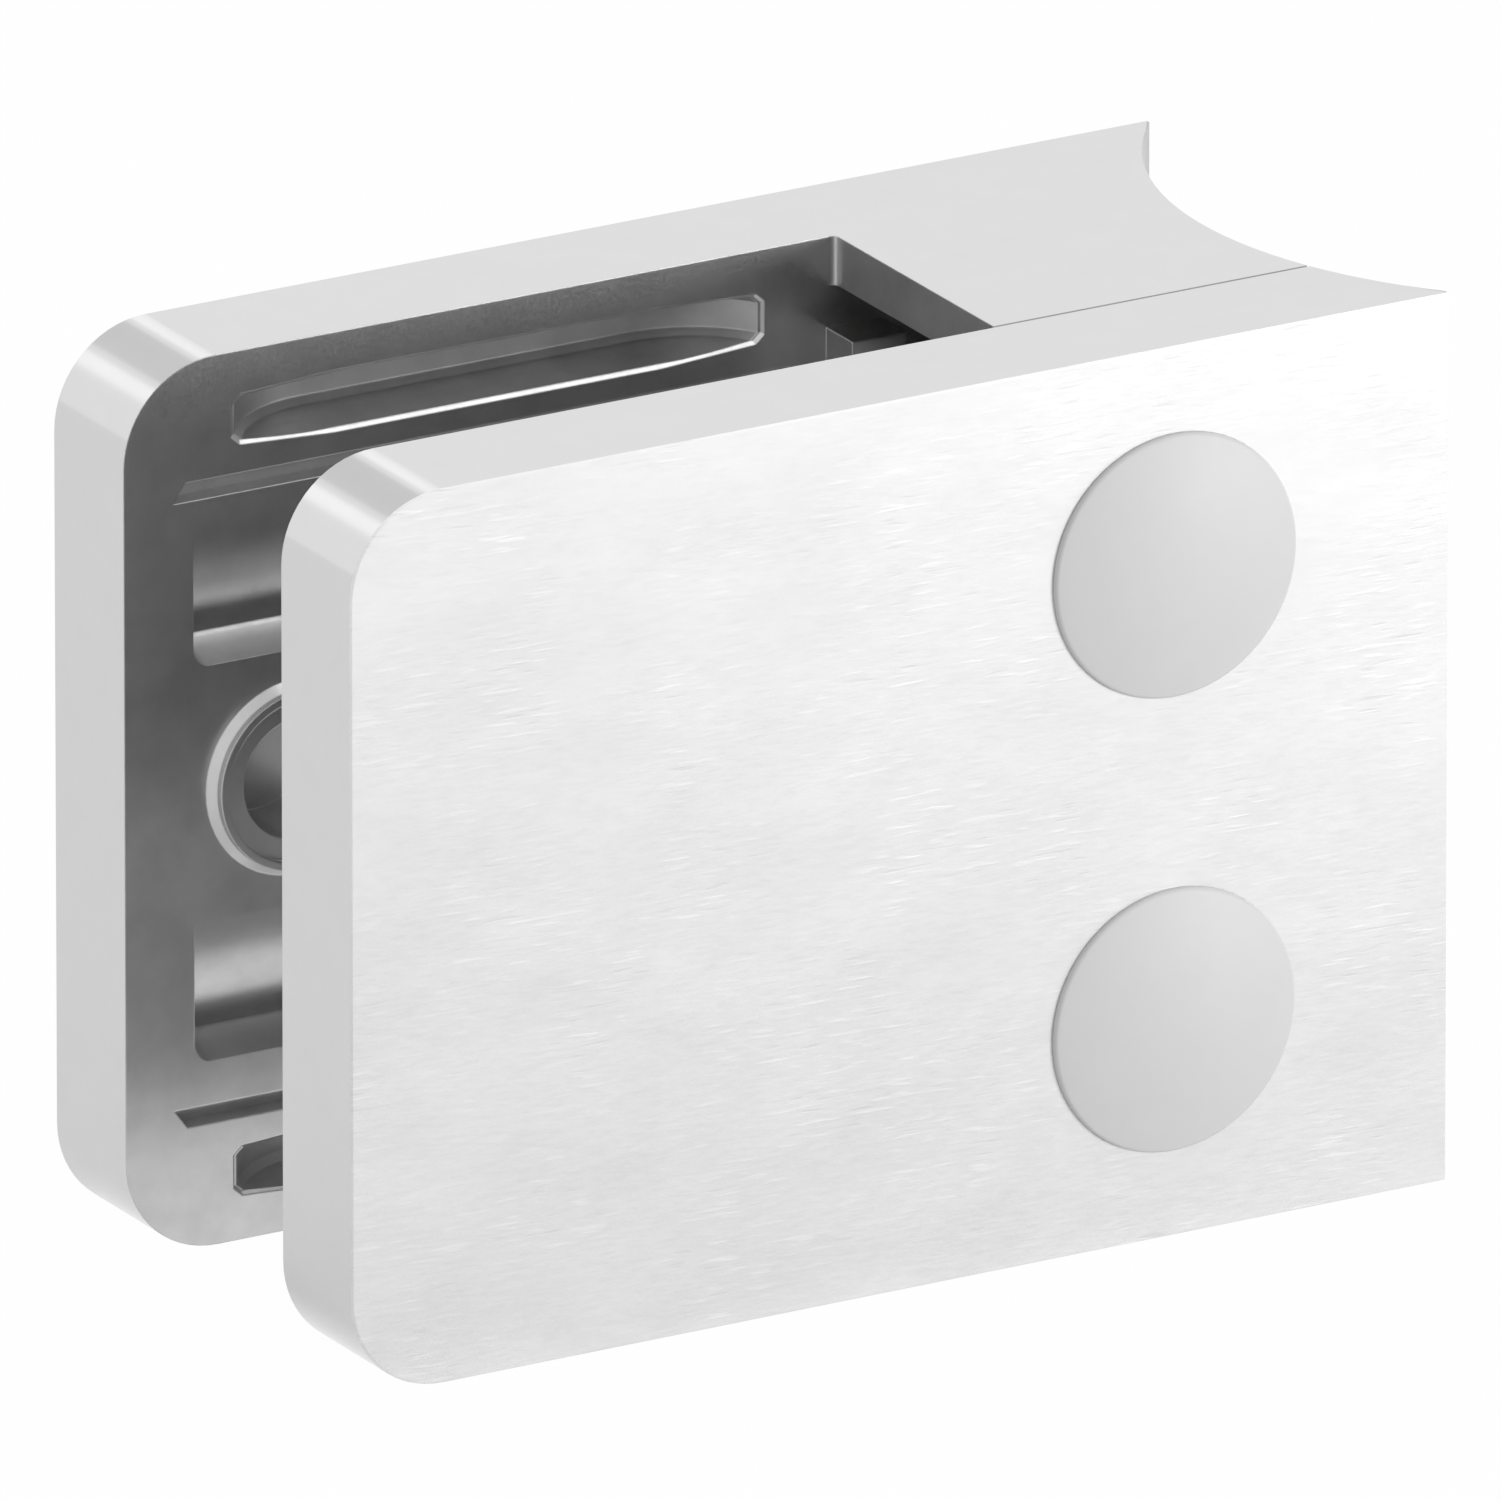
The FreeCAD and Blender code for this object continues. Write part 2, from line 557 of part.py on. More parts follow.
def check_and_export(bodies):
    """Stops if anything failed, then writes one file for each sub-part."""
    doc.recompute()
    for item in doc.Objects:
        if "Invalid" in item.State or "Error" in item.State:
            raise RuntimeError(f"{item.Name} failed: {item.State}")
    for body in bodies:
        shape = body.Shape
        if shape.isNull() or not shape.isValid() or len(shape.Solids) != 1:
            raise RuntimeError(f"{body.Label} is not one valid solid")
    os.makedirs("parts", exist_ok=True)
    for body in bodies:
        body.Shape.exportStep(f"parts/{body.Label}.step")
        print(body.Label, f"{body.Shape.Volume / 1000:.2f} cm3", body.Shape.BoundBox)


fill_sheet()
check_and_export([
    make_rear_jaw_body(),
    make_front_plate(),
    make_screw("screw_upper", UPPER),
    make_screw("screw_lower", LOWER),
    make_cap("cap_upper", UPPER),
    make_cap("cap_lower", LOWER),
])
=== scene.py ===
"""Looks of a glass panel clamp: brushed castings, threaded screws and domed caps.

Everything is in metres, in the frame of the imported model: +X points to the
post, the front plate is at -Y and +Z is up.
"""

import json
import math

import bmesh
import bpy
from bpy.props import FloatProperty, FloatVectorProperty, IntProperty, PointerProperty
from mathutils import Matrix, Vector

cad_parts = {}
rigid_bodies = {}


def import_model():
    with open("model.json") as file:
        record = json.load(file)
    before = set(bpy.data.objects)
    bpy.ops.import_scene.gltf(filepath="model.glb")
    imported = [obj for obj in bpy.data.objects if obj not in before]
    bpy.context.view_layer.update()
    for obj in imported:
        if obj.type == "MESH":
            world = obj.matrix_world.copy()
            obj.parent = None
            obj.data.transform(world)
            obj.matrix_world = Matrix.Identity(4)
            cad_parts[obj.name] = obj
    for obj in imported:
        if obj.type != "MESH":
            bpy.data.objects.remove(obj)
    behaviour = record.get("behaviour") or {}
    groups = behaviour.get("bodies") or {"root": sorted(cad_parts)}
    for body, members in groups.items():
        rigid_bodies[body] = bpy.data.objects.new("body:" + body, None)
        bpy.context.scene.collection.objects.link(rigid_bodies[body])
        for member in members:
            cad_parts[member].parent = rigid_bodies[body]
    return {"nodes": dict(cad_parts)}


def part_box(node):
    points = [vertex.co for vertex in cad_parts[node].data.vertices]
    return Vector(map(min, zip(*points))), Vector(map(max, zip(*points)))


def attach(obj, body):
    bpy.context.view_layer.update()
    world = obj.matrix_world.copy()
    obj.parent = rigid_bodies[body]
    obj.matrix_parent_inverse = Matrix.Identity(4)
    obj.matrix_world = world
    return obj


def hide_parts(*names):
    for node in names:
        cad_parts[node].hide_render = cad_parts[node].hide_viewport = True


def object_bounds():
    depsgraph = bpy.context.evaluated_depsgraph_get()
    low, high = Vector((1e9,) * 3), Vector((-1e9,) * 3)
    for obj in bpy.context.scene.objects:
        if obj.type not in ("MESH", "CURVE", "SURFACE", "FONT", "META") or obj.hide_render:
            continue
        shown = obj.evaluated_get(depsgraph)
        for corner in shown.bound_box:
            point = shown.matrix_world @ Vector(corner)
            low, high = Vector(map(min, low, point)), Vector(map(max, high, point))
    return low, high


bl_info = {
    "name": "Glass panel clamp",
    "version": (1, 0, 0),
    "blender": (4, 5, 0),
    "location": "View3D > Sidebar > Clamp",
    "description": "Dresses the clamp's castings, screws and caps, and lights them",
    "category": "Object",
}

for leftover in list(bpy.data.objects):
    bpy.data.objects.remove(leftover)
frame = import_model()
CAD_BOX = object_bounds()

MM = 0.001
PHOTO_PIXELS = 1500
CLIP_RATIO = 10.0
WHITE = (1.0, 1.0, 1.0, 1.0)
CASTINGS = ("rear_jaw_body", "front_plate")
PLACES = ("upper", "lower")
MOTTLE_GROUP = "blasted mottle"

# Finishes of the castings, in the order of their materials; the slots' darker steel is painted shade
BRUSHED, SATIN, BLASTED, SLOT_PAINTED_SHADE, WORN = range(5)

# Least Y part of the normal of a flat face across the clamp, and of a broken rim round one
FLAT_Y = 0.95
RIM_Y = 0.3

# How near a face lies to the outer face, to the outline or to the saddle that it belongs to
FACE_REACH = 0.1 * MM
OUTLINE_REACH = 0.2 * MM
SADDLE_REACH = 0.05 * MM

# Least and greatest depth of slots and grooves below a gripping face, and the least of a pocket's foot
CUT_DEPTHS = (0.15 * MM, 5 * MM)
FOOT_TOP = 0.02 * MM

# Least Z and Y parts of the normal of a pocket's foot
FOOT_RISE = 0.3
FOOT_LEAN = 0.2

# Noise cells in a metre, for the clusters of scratches, the clouds, the patches and the fine grain
CLUSTER_SCALE = 170.0
CLOUD_SCALE = 260.0
PATCH_SCALE = 420.0
GRAIN_SCALE = 5200.0

# A part under one draws the clouds out along that axis
CLOUD_STRETCH = (0.45, 1.0, 1.0)

# Noise cells in the length and width of one scratch
FINE_STREAKS = 2.3
BROAD_STREAKS = 1.0

# Ranges of a noise's values: most of them, a bright scratch, a dark scratch and a cluster of scratches
NOISE_SPAN = (0.3, 0.7)
BRIGHT_SPAN = (0.58, 0.7)
DARK_SPAN = (0.26, 0.36)
CLUSTER_SPAN = (0.42, 0.62)

# Strength of the scratches between the clusters
OUTSIDE_CLUSTERS = 0.15

# Parts of the thread's pitch: half the flat of a crest, and a flank
CREST_HALF = 1 / 16
FLANK = 5 / 16

# Width of the hexagon socket at its floor, as a share of its width above
SOCKET_FLOOR = 0.97

# Fineness of the round forms, and the angle from which their edges stay sharp
HEAD_ARC_STEPS = 5
DOME_ARC_STEPS = 24
RIM_ARC_STEPS = 8
BEVEL_SAMPLES = 6
SHARP_ANGLE = math.radians(32)

# Upright strips of the mirrored room, (heading, half width), and half of their soft edges, in degrees
RIGHT_STRIP = (24.5, 2.5)
LEFT_STRIP = (-22.0, 4.5)
WALL_BETWEEN = (3.0, 15.0)
STRIP_FADE = 1.5

# Y, Z, Z and X parts of a direction over which front wall, its top, ceiling and right side fade
FRONT_FADE = (-0.1, -0.6)
WALL_TOP_FADE = (0.45, 0.7)
CEILING_FADE = (0.55, 0.8)
RIGHT_FADE = (-0.2, 0.2)

# Half of the softbox's soft edge, as a share of its spread
SOFTBOX_FADE = 0.4

# Half the floor's side, and its roughness
FLOOR_HALF = 3.0
FLOOR_ROUGHNESS = 0.9

# Where the painted pool of light on the floor under the clamp has faded at its sides, as a share of its half
# width, and its soft end as places from the jaws' tips
PAINTED_POOL_FADE = 1.5
PAINTED_POOL_TIP_FADE = (-2 * MM, 4 * MM)


class StageSettings(bpy.types.PropertyGroup):
    """Camera, floor and studio light."""

    azimuth: FloatProperty(
        name="Azimuth", description="Camera's turn round the clamp, 0 looks along +Y",
        default=math.radians(-30), subtype="ANGLE")
    elevation: FloatProperty(
        name="Elevation", description="Camera's height above the horizon",
        default=math.radians(20), subtype="ANGLE")
    aim: FloatVectorProperty(
        name="Aim", description="Point in the middle of the picture",
        default=(-24.92 * MM, 0.0, 0.37 * MM), subtype="XYZ", unit="LENGTH", precision=5)
    pixels_per_mm: FloatProperty(
        name="Pixels per millimetre", description="Scale of the clamp in the picture", default=21.0)
    lens: FloatProperty(
        name="Lens", description="Focal length in millimetres, long for a near parallel view",
        default=1500.0)
    floor_color: FloatVectorProperty(
        name="Floor colour", description="Pale studio floor", default=(0.85, 0.85, 0.85), subtype="COLOR")
    floor_white: FloatProperty(
        name="Floor white", description="How far the picture shows the floor as plain white",
        default=0.98, subtype="FACTOR")
    floor_glow: FloatProperty(
        name="Floor glow", description="How far the metal mirrors the floor as plain white",
        default=0.4, subtype="FACTOR")
    # Painted light: a pool on the floor under the mouth, where the clamp's shadow falls, that the metal
    # mirrors as white
    painted_pool_glow: FloatProperty(
        name="Bright floor's glow",
        description="How far the metal mirrors the floor under the mouth as plain white",
        default=0.85, subtype="FACTOR")
    painted_pool_width: FloatProperty(
        name="Bright floor", description="Half the width of the bright floor under the mouth",
        default=12 * MM, unit="LENGTH")
    room_light: FloatProperty(
        name="Room light", description="Light of the pale room on the clamp and floor", default=0.5)
    room_slope: FloatProperty(
        name="Room slope", description="How much more light comes from above than from the side",
        default=0.8)
    mirrored_room: FloatProperty(
        name="Mirrored room", description="Brightness of the room as the metal mirrors it", default=0.91)
    front_dim: FloatProperty(
        name="Front wall", description="Brightness that the right part of the front wall takes away",
        default=0.35)
    ceiling_dim: FloatProperty(
        name="Ceiling", description="Brightness that the right part of the ceiling takes away", default=0.35)
    strip_light: FloatProperty(
        name="Left strip light", description="Brightness that the left upright strip light adds to the room",
        default=0.24)
    thin_strip_light: FloatProperty(
        name="Right strip light", description="Brightness that the thin right strip light adds to the room",
        default=0.2)
    strip_gap: FloatProperty(
        name="Strip gap", description="Brightness that the wall between the strip lights takes away",
        default=0.18)
    softbox_light: FloatProperty(
        name="Softbox", description="Brightness that the softbox over the mouth adds", default=1.7)
    softbox_way: FloatVectorProperty(
        name="Softbox's way", description="Direction of the softbox", default=(0.47, -0.34, 0.81),
        subtype="DIRECTION")
    softbox_spread: FloatProperty(
        name="Softbox's spread", description="Half the angle that the softbox covers",
        default=math.radians(14), subtype="ANGLE")
    key_power: FloatProperty(
        name="Key light", description="Power of the soft lamp at the front right",
        default=0.92, unit="POWER")
    key_place: FloatVectorProperty(
        name="Key light's place", description="Centre of the soft lamp",
        default=(259 * MM, -348 * MM, 52 * MM), subtype="XYZ", unit="LENGTH")
    key_size: FloatProperty(
        name="Key light's size", description="Side of the square lamp", default=150 * MM, unit="LENGTH")


class CastingSettings(bpy.types.PropertyGroup):
    """Finishes of the two castings."""

    steel_color: FloatVectorProperty(
        name="Steel", description="Colour of the bare metal of edges and corners",
        default=(0.775, 0.775, 0.775), subtype="COLOR")
    brushed_color: FloatVectorProperty(
        name="Brushed steel", description="Colour of the brushed faces", default=(0.677, 0.677, 0.677),
        subtype="COLOR")
    inner_color: FloatVectorProperty(
        name="Blasted steel", description="Colour of the blasted metal in the mouth and saddle",
        default=(0.62, 0.62, 0.62), subtype="COLOR")
    # Painted shade: the slots' steel is darker than the mouth's, standing in for the shade in the narrow
    # cuts
    slot_painted_shade_color: FloatVectorProperty(
        name="Cast steel", description="Colour of the cast skin left in the slots",
        default=(0.58, 0.58, 0.58), subtype="COLOR")
    brushed_roughness: FloatProperty(
        name="Brushed roughness", description="Flat outer faces", default=0.42, subtype="FACTOR")
    satin_roughness: FloatProperty(
        name="Satin roughness", description="Edges and corners", default=0.12, subtype="FACTOR")
    blasted_roughness: FloatProperty(
        name="Blasted roughness", description="Inside of the mouth, and the saddle", default=0.32,
        subtype="FACTOR")
    slot_roughness: FloatProperty(
        name="Cast roughness", description="Slots", default=0.45, subtype="FACTOR")
    streak_length: FloatProperty(
        name="Streak length", description="Length of a brushed scratch", default=2.4 * MM, unit="LENGTH")
    streak_width: FloatProperty(
        name="Streak width", description="Width of a brushed scratch", default=0.26 * MM, unit="LENGTH")
    streak_tilt: FloatProperty(
        name="Streak tilt", description="Fall of a scratch towards the post, as a share of its length",
        default=0.02)
    crease_radius: FloatProperty(
        name="Crease radius", description="Rounding of edges and creases in the mouth",
        default=0.12 * MM, unit="LENGTH")
    tip_radius: FloatProperty(
        name="Tip radius", description="Round corners at the jaw tips", default=5.0 * MM, unit="LENGTH")
    post_radius: FloatProperty(
        name="Post radius", description="Round saddle for the post", default=21.2 * MM, unit="LENGTH")
    glass_gap: FloatProperty(
        name="Glass gap", description="Between the two jaws", default=15 * MM, unit="LENGTH")
    pocket_deep: FloatProperty(
        name="Pocket depth", description="Wedge pocket at its deepest line", default=2 * MM, unit="LENGTH")
    foot_pull: FloatVectorProperty(
        name="Foot's wear",
        description="Turn of a pocket's foot towards the gap, at the face, by the crease and in it",
        size=3, default=(4.6, 3.0, 2.0))
    crease_deep: FloatProperty(
        name="Crease", description="Part of a pocket's depth that its bright crease takes up",
        default=0.35 * MM, unit="LENGTH")
    foot_metal: FloatProperty(
        name="Foot's metal",
        description="Share of a worn surface that mirrors like metal, the rest is dull",
        default=0.75, subtype="FACTOR")
    rim_pull: FloatProperty(
        name="Rims' turn", description="Turn of the narrow outer rims towards the brushed face",
        default=40.0)
    slot_end: FloatProperty(
        name="Slot's end", description="Top or bottom face to the far side of the slots",
        default=5.6 * MM, unit="LENGTH")
    groove_end: FloatProperty(
        name="Groove's end", description="Top or bottom face to the far side of the fine grooves",
        default=7.2 * MM, unit="LENGTH")
    web_face: FloatProperty(
        name="Web face", description="Plane just in front of the web, at the back of the mouth",
        default=-17 * MM, unit="LENGTH")


class ScrewSettings(bpy.types.PropertyGroup):
    """Turned and threaded screws."""

    head_height: FloatProperty(
        name="Head", description="Height of the low head", default=4.0 * MM, unit="LENGTH")
    head_break: FloatProperty(
        name="Head edge", description="Rounded edge of the head", default=0.4 * MM, unit="LENGTH")
    thread_radius: FloatProperty(
        name="Thread radius", description="Outside of the thread", default=3.0 * MM, unit="LENGTH")
    thread_depth: FloatProperty(
        name="Thread depth", description="Crest to root", default=0.61 * MM, unit="LENGTH")
    pitch: FloatProperty(name="Pitch", description="Thread pitch", default=1.0 * MM, unit="LENGTH")
    tip_break: FloatProperty(
        name="Tip edge", description="Chamfer at the tip", default=0.7 * MM, unit="LENGTH")
    hex_across: FloatProperty(
        name="Socket", description="Hexagon socket across its flats", default=4.0 * MM, unit="LENGTH")
    hex_depth: FloatProperty(
        name="Socket depth", description="Hexagon socket from the head's top",
        default=2.4 * MM, unit="LENGTH")
    steps: IntProperty(name="Steps", description="Steps round one turn", default=60)
    rings: IntProperty(name="Rings", description="Rings along one pitch of the thread", default=10)
    color: FloatVectorProperty(
        name="Colour", description="Screw steel", default=(0.62, 0.62, 0.61), subtype="COLOR")
    roughness: FloatProperty(name="Roughness", description="Turned steel", default=0.28, subtype="FACTOR")


class CapSettings(bpy.types.PropertyGroup):
    """Domed covers over the screws."""

    press_fit: FloatProperty(
        name="Press fit", description="Growth of the radius over the solid, which has play in the plate",
        default=0.04 * MM, unit="LENGTH")
    dome: FloatProperty(name="Dome", description="Crown above the side", default=1.0 * MM, unit="LENGTH")
    rim_radius: FloatProperty(
        name="Rim radius", description="Rounding where dome and side meet", default=0.25 * MM, unit="LENGTH")
    wall: FloatProperty(
        name="Wall", description="Skirt round the screw head", default=1.1 * MM, unit="LENGTH")
    head_room: FloatProperty(
        name="Head room", description="Play above the screw head", default=0.1 * MM, unit="LENGTH")
    steps: IntProperty(name="Steps", description="Steps round one turn", default=128)
    color: FloatVectorProperty(
        name="Colour", description="Light grey plastic", default=(0.6, 0.6, 0.6), subtype="COLOR")
    roughness: FloatProperty(name="Roughness", description="Silky sheen", default=0.5, subtype="FACTOR")


def link_object(name, mesh):
    """New object in the scene."""
    thing = bpy.data.objects.new(name, mesh)
    bpy.context.scene.collection.objects.link(thing)
    return thing


def new_group(name, inputs, outputs):
    """Empty shader node group. Its sockets are given by name, with the type of each."""
    group = bpy.data.node_groups.new(name, "ShaderNodeTree")
    for side, sockets in (("INPUT", inputs), ("OUTPUT", outputs)):
        for label, kind in sockets.items():
            group.interface.new_socket(label, in_out=side, socket_type=kind)
    return group, group.nodes.new("NodeGroupInput"), group.nodes.new("NodeGroupOutput")


def connect(tree, source, target):
    """Feeds an input from a socket, or sets it to a plain value."""
    if isinstance(source, bpy.types.NodeSocket):
        tree.links.new(source, target)
    else:
        target.default_value = source


def math_node(tree, operation, *sources):
    """Math node whose inputs are sockets or numbers."""
    node = tree.nodes.new("ShaderNodeMath")
    node.operation = operation
    for source, target in zip(sources, node.inputs):
        connect(tree, source, target)
    return node.outputs[0]


def vector_node(tree, operation, *sources):
    """Vector Math node whose inputs are sockets or vectors."""
    node = tree.nodes.new("ShaderNodeVectorMath")
    node.operation = operation
    for source, target in zip(sources, node.inputs):
        connect(tree, source, target)
    return node


def split_vector(tree, source):
    """The three parts of a vector."""
    node = tree.nodes.new("ShaderNodeSeparateXYZ")
    tree.links.new(source, node.inputs[0])
    return tuple(node.outputs)


def join_vector(tree, *parts):
    """Vector made of three parts."""
    node = tree.nodes.new("ShaderNodeCombineXYZ")
    for part, target in zip(parts, node.inputs):
        connect(tree, part, target)
    return node.outputs[0]


def noise(tree, place, scale, detail, roughness=0.5):
    """Noise of a place, from 0 to 1."""
    node = tree.nodes.new("ShaderNodeTexNoise")
    node.inputs["Scale"].default_value = scale
    node.inputs["Detail"].default_value = detail
    node.inputs["Roughness"].default_value = roughness
    tree.links.new(place, node.inputs["Vector"])
    return node.outputs[0]


def remap(tree, source, old, new, smooth=False):
    """Maps one range of values onto another, with flat ends."""
    node = tree.nodes.new("ShaderNodeMapRange")
    node.interpolation_type = "SMOOTHSTEP" if smooth else "LINEAR"
    tree.links.new(source, node.inputs["Value"])
    for label, value in zip(("From Min", "From Max", "To Min", "To Max"), (*old, *new)):
        node.inputs[label].default_value = value
    return node.outputs["Result"]


def around(middle, spread):
    """Range with that middle, which runs downwards where the spread is negative."""
    return middle - spread, middle + spread


def tint(tree, color, factor):
    """Colour times a value near one."""
    node = tree.nodes.new("ShaderNodeVectorMath")
    node.operation = "SCALE"
    node.inputs[0].default_value = color
    tree.links.new(factor, node.inputs["Scale"])
    return node.outputs[0]


def bump(tree, height, strength, distance, normal=None):
    """Normal of a surface that the height raises by up to the distance."""
    node = tree.nodes.new("ShaderNodeBump")
    node.inputs["Strength"].default_value = strength
    node.inputs["Distance"].default_value = distance
    tree.links.new(height, node.inputs["Height"])
    if normal is not None:
        tree.links.new(normal, node.inputs["Normal"])
    return node.outputs[0]


def object_place(tree):
    """Place on the piece, in metres."""
    return tree.nodes.new("ShaderNodeTexCoord").outputs["Object"]


def new_material(name, metallic):
    """Material with its node tree and its shader."""
    material = bpy.data.materials.new(name)
    material.use_nodes = True
    shader = material.node_tree.nodes["Principled BSDF"]
    shader.inputs["Metallic"].default_value = metallic
    return material, material.node_tree, shader


def build_streak_group():
    """Sparse short scratches along X with a slight tilt, fine grain and clouds, as values round 0.5."""
    number = "NodeSocketFloat"
    group, start, end = new_group(
        "brushed streaks",
        {"Position": "NodeSocketVector", "Length": number, "Width": number, "Tilt": number},
        {"Grain": number, "Streaks": number, "Clouds": number})
    place = start.outputs["Position"]
    length = start.outputs["Length"]
    x, y, z = split_vector(group, place)
    level = math_node(group, "ADD", z, math_node(group, "MULTIPLY", x, start.outputs["Tilt"]))
    drawn_out = join_vector(
        group,
        math_node(group, "DIVIDE", x, length),
        math_node(group, "DIVIDE", y, length),
        math_node(group, "DIVIDE", level, start.outputs["Width"]))
    fine = noise(group, drawn_out, FINE_STREAKS, detail=3.0, roughness=0.6)
    broad = noise(group, drawn_out, BROAD_STREAKS, detail=1.0)
    clusters = noise(group, place, CLUSTER_SCALE, detail=2.0)
    bright = remap(group, broad, BRIGHT_SPAN, (0.0, 0.5))
    dark = remap(group, broad, DARK_SPAN, (0.5, 0.0))
    scratch = math_node(group, "SUBTRACT", bright, dark)
    share = remap(group, clusters, CLUSTER_SPAN, (OUTSIDE_CLUSTERS, 1.0))
    scratch = math_node(group, "MULTIPLY", scratch, share)
    connect(group, math_node(group, "ADD", scratch, 0.5), end.inputs["Streaks"])
    connect(group, fine, end.inputs["Grain"])
    stretched = vector_node(group, "MULTIPLY", place, CLOUD_STRETCH).outputs[0]
    clouds = noise(group, stretched, CLOUD_SCALE, detail=3.0, roughness=0.6)
    connect(group, clouds, end.inputs["Clouds"])
    return group


def build_mottle_group():
    """Cloudy patches and fine grain of blasted or moulded surfaces, as values round 0.5."""
    group, start, end = new_group(
        MOTTLE_GROUP,
        {"Position": "NodeSocketVector"},
        {"Patches": "NodeSocketFloat", "Grain": "NodeSocketFloat"})
    place = start.outputs["Position"]
    connect(group, noise(group, place, PATCH_SCALE, detail=3.0, roughness=0.55), end.inputs["Patches"])
    connect(group, noise(group, place, GRAIN_SCALE, detail=2.0, roughness=0.6), end.inputs["Grain"])
    return group


def place_group(tree, group, **values):
    """A node group in a material, fed with the place on the piece."""
    node = tree.nodes.new("ShaderNodeGroup")
    node.node_tree = group
    tree.links.new(object_place(tree), node.inputs["Position"])
    for name, value in values.items():
        node.inputs[name.title()].default_value = value
    return node


def add_mottle(tree, shader, mottle, color, color_spread, roughness, roughness_spread):
    """Varies the colour with the mottle's patches and the roughness with its grain, and gives the grain."""
    marks = place_group(tree, mottle)
    grain = marks.outputs["Grain"]
    shade = remap(tree, marks.outputs["Patches"], NOISE_SPAN, around(1.0, color_spread))
    connect(tree, tint(tree, color, shade), shader.inputs["Base Color"])
    rough = remap(tree, grain, NOISE_SPAN, around(roughness, roughness_spread))
    connect(tree, rough, shader.inputs["Roughness"])
    return grain


def foot_wear(tree, settings):
    """How far a pocket's foot is worn round, from its deepest line to the jaw face."""
    across = math_node(tree, "ABSOLUTE", split_vector(tree, object_place(tree))[1])
    edge = settings.glass_gap / 2
    at_face, at_crease, in_crease = settings.foot_pull
    deepest = edge + settings.pocket_deep
    crease = deepest - settings.crease_deep
    foot = remap(tree, across, (edge, crease), (at_face, at_crease))
    line = remap(tree, across, (crease, deepest), (0.0, in_crease - at_crease))
    return math_node(tree, "ADD", foot, line)


def turned_to_face(tree, pull):
    """Normal with its Y part multiplied, so that a slanting surface shades like a rounded one."""
    x, y, z = split_vector(tree, tree.nodes.new("ShaderNodeNewGeometry").outputs["Normal"])
    pulled = join_vector(tree, x, math_node(tree, "MULTIPLY", y, pull), z)
    return vector_node(tree, "NORMALIZE", pulled).outputs[0]


def worn_normal(tree, settings):
    """Normal of a surface that is worn round like a pocket's foot."""
    return turned_to_face(tree, foot_wear(tree, settings))


def softened_normal(tree, settings):
    """Normal with narrow edges and creases rounded over."""
    node = tree.nodes.new("ShaderNodeBevel")
    node.samples = BEVEL_SAMPLES
    node.inputs["Radius"].default_value = settings.crease_radius
    return node.outputs[0]


def brushed_steel(settings, streaks):
    """Steel of the outer faces, brushed along the clamp's length."""
    material, tree, shader = new_material("brushed_steel", metallic=1.0)
    marks = place_group(tree, streaks, length=settings.streak_length, width=settings.streak_width,
                        tilt=settings.streak_tilt)
    streaks_shade = remap(tree, marks.outputs["Streaks"], (0.0, 1.0), around(1.0, spread=0.065))
    clouds_shade = remap(tree, marks.outputs["Clouds"], NOISE_SPAN, around(1.0, spread=0.032))
    shade = math_node(tree, "MULTIPLY", streaks_shade, clouds_shade)
    connect(tree, tint(tree, settings.brushed_color, shade), shader.inputs["Base Color"])
    rough = remap(tree, marks.outputs["Grain"], NOISE_SPAN, around(settings.brushed_roughness, spread=-0.04))
    connect(tree, rough, shader.inputs["Roughness"])
    normal = turned_to_face(tree, settings.rim_pull)
    raised = bump(tree, marks.outputs["Streaks"], strength=0.2, distance=0.02 * MM, normal=normal)
    connect(tree, raised, shader.inputs["Normal"])
    return material


def satin_steel(settings, mottle):
    """Smooth tumbled steel of edges and corners."""
    material, tree, shader = new_material("satin_steel", metallic=1.0)
    add_mottle(tree, shader, mottle, color=settings.steel_color, color_spread=0.01,
               roughness=settings.satin_roughness, roughness_spread=0.01)
    return material


def inner_steel(name, settings, mottle, metallic, color, roughness, find_normal):
    """Metal of the mouth. find_normal makes the nodes that shape its normals."""
    material, tree, shader = new_material(name, metallic)
    grain = add_mottle(tree, shader, mottle, color, color_spread=0.07,
                       roughness=roughness, roughness_spread=0.04)
    normal = find_normal(tree, settings)
    raised = bump(tree, grain, strength=0.05, distance=0.02 * MM, normal=normal)
    connect(tree, raised, shader.inputs["Normal"])
    return material


def blasted_steel(settings, mottle):
    """Matt metal of the mouth, the web and the saddle."""
    return inner_steel("blasted_steel", settings, mottle, metallic=1.0, color=settings.inner_color,
                       roughness=settings.blasted_roughness, find_normal=softened_normal)


def slot_painted_shade_steel(settings, mottle):
    """Darker steel in the slots, painted shade of the narrow cuts, with a rougher finish."""
    return inner_steel("slot_painted_shade_steel", settings, mottle, metallic=1.0, color=settings.slot_painted_shade_color,
                       roughness=settings.slot_roughness, find_normal=softened_normal)


def worn_steel(settings, mottle):
    """Duller metal of the pockets' feet and the fine grooves."""
    return inner_steel("worn_steel", settings, mottle, metallic=settings.foot_metal,
                       color=settings.inner_color, roughness=settings.blasted_roughness,
                       find_normal=worn_normal)


def turned_steel(settings, mottle):
    """Plain steel of the screws."""
    material, tree, shader = new_material("turned_steel", metallic=1.0)
    add_mottle(tree, shader, mottle, color=settings.color, color_spread=0.05,
               roughness=settings.roughness, roughness_spread=0.04)
    return material


def silky_plastic(settings, mottle):
    """Moulded plastic with a very fine grain."""
    material, tree, shader = new_material("silky_plastic", metallic=0.0)
    grain = add_mottle(tree, shader, mottle, color=settings.color, color_spread=0.01,
                       roughness=settings.roughness, roughness_spread=0.03)
    connect(tree, bump(tree, grain, strength=0.04, distance=0.01 * MM), shader.inputs["Normal"])
    return material


